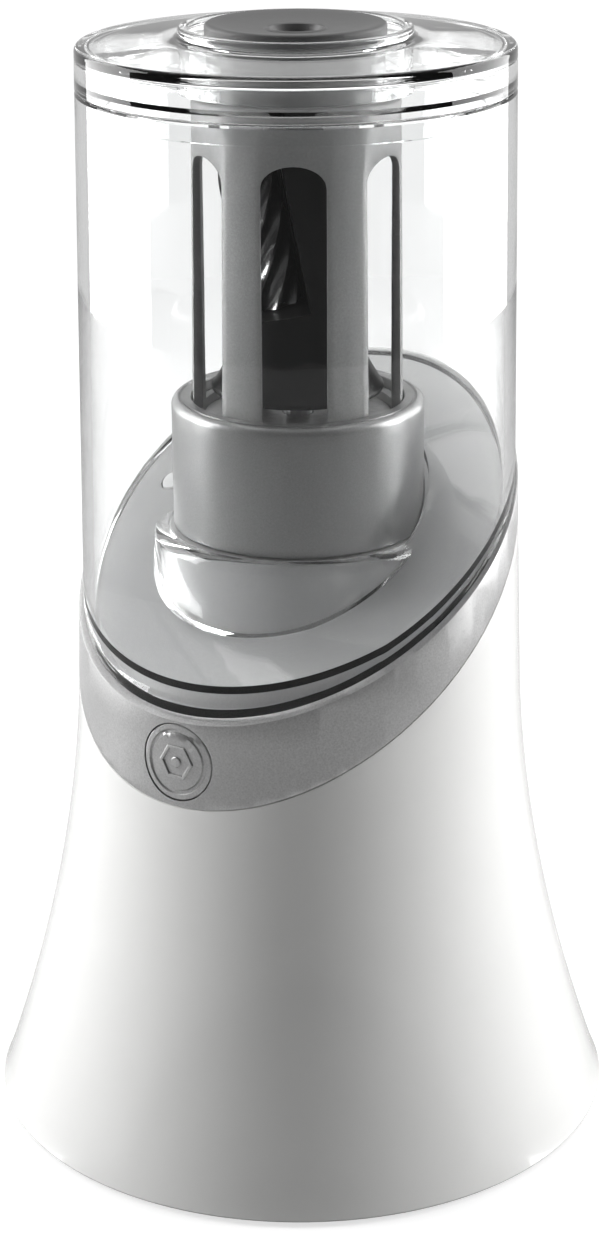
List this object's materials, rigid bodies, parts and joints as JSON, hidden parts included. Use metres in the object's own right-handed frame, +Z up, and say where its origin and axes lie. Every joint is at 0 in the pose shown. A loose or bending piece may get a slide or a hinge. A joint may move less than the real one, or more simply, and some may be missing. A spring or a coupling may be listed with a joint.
{
  "type": "electric pencil sharpener",
  "caption": "Desktop electric pencil sharpener: flared white motor base, slanted silver band, slotted guide tower with a helical cutter, and a clear lift-off shavings bin with a lid.",
  "frame": {"origin": "on the table under the middle of the base", "axes": "+Z up along the pencil's axis; the front with its badge faces -Y, and the power inlet is at +Y"},
  "size_m": [0.1324, 0.1324, 0.23],
  "materials": {
    "white_gloss": "high gloss moulding",
    "silver_paint": "satin silver paint on plastic",
    "badge_metal": "satin",
    "grey_paint": "satin grey metallic paint on plastic",
    "clear_plastic": "clear, polished",
    "dark_grey_plastic": "fine satin",
    "black_plastic": "satin",
    "white_plastic": "natural acetal",
    "steel": "plain",
    "screw_steel": "plated",
    "tool_steel": "ground and oiled",
    "brass": "plain",
    "board_green": "solder mask",
    "rubber": "matt",
    "lead_red": "lead insulation",
    "lead_black": "lead insulation"
  },
  "bodies": {
    "base": {"base_shell": "white_gloss", "deck": "white_gloss", "trim_band": "silver_paint", "guide_tower": "silver_paint", "badge": "badge_metal", "pedestal": "grey_paint", "bearing_plate": "grey_paint", "entry_disc": "dark_grey_plastic", "bottom_cover": "dark_grey_plastic", "motor_endcap": "black_plastic", "board_capacitor": "black_plastic", "start_switch": "black_plastic", "interlock_switch": "black_plastic", "power_jack": "black_plastic", "board_connector": "white_plastic", "ring_gear": "steel", "gearbox_lower_plate": "steel", "gearbox_upper_plate": "steel", "gearbox_post_1": "steel", "gearbox_post_2": "steel", "gearbox_post_3": "steel", "idler_pin": "steel", "motor_can": "steel", "switch_bracket": "steel", "cover_screw_1": "screw_steel", "cover_screw_2": "screw_steel", "cover_screw_3": "screw_steel", "cover_screw_4": "screw_steel", "gearbox_screw_1": "screw_steel", "gearbox_screw_2": "screw_steel", "gearbox_screw_3": "screw_steel", "motor_screw_1": "screw_steel", "motor_screw_2": "screw_steel", "top_bush": "brass", "motor_terminal_1": "brass", "motor_terminal_2": "brass", "circuit_board": "board_green", "rubber_foot_1": "rubber", "rubber_foot_2": "rubber", "rubber_foot_3": "rubber", "rubber_foot_4": "rubber", "motor_lead_red": "lead_red", "motor_lead_black": "lead_black", "start_switch_lead": "lead_black", "interlock_lead": "lead_black"},
    "bin": {"bin_shell": "clear_plastic"},
    "lid": {"bin_lid": "clear_plastic"},
    "interlock_plunger": {"interlock_plunger": "white_plastic"},
    "start_slider": {"thrust_button": "white_plastic", "return_spring": "steel"},
    "carrier": {"carrier_frame": "black_plastic", "drive_shaft": "steel", "output_gear": "white_plastic", "cutter_axle": "steel"},
    "cutter": {"helical_cutter": "tool_steel", "cutter_pinion": "steel"},
    "idler": {"compound_gear": "white_plastic"},
    "rotor": {"motor_shaft": "steel", "motor_pinion": "brass"}
  },
  "joints": [
    {"name": "bin_lift", "type": "slide", "parent": "base", "child": "bin", "axis": [0, 0, 1], "range_m": [0, 0.14]},
    {"name": "lid_lift", "type": "slide", "parent": "bin", "child": "lid", "axis": [0, 0, 1], "range_m": [0, 0.03]},
    {"name": "interlock_rise", "type": "slide", "parent": "base", "child": "interlock_plunger", "axis": [0, 0, 1], "range_m": [0, 0.0025]},
    {"name": "start_slide", "type": "slide", "parent": "base", "child": "start_slider", "axis": [0, 0, 1], "range_m": [-0.0008, 0], "stiffness_N_per_m": 1500, "springref_m": 0.004, "deforming": ["return_spring"]},
    {"name": "carrier_spin", "type": "hinge", "parent": "start_slider", "child": "carrier", "pos_m": [0, 0, 0.11], "axis": [0, 0, 1], "continuous": true},
    {"name": "cutter_spin", "type": "hinge", "parent": "carrier", "child": "cutter", "pos_m": [0, 0, 0.15005], "axis": [-0.1563, -0.1094, 0.9816], "continuous": true},
    {"name": "idler_spin", "type": "hinge", "parent": "base", "child": "idler", "pos_m": [0.0183, -0.01393, 0.08], "axis": [0, 0, 1], "continuous": true},
    {"name": "rotor_spin", "type": "hinge", "parent": "base", "child": "rotor", "pos_m": [0, -0.022, 0.075], "axis": [0, 0, 1], "continuous": true}
  ],
  "couplings": [
    {"joint": "cutter_spin", "follows": "carrier_spin", "ratio": -4},
    {"joint": "idler_spin", "follows": "carrier_spin", "ratio": -3.6},
    {"joint": "rotor_spin", "follows": "carrier_spin", "ratio": 10.8},
    {"joint": "interlock_rise", "follows": "bin_lift", "ratio": 0.017857}
  ]
}
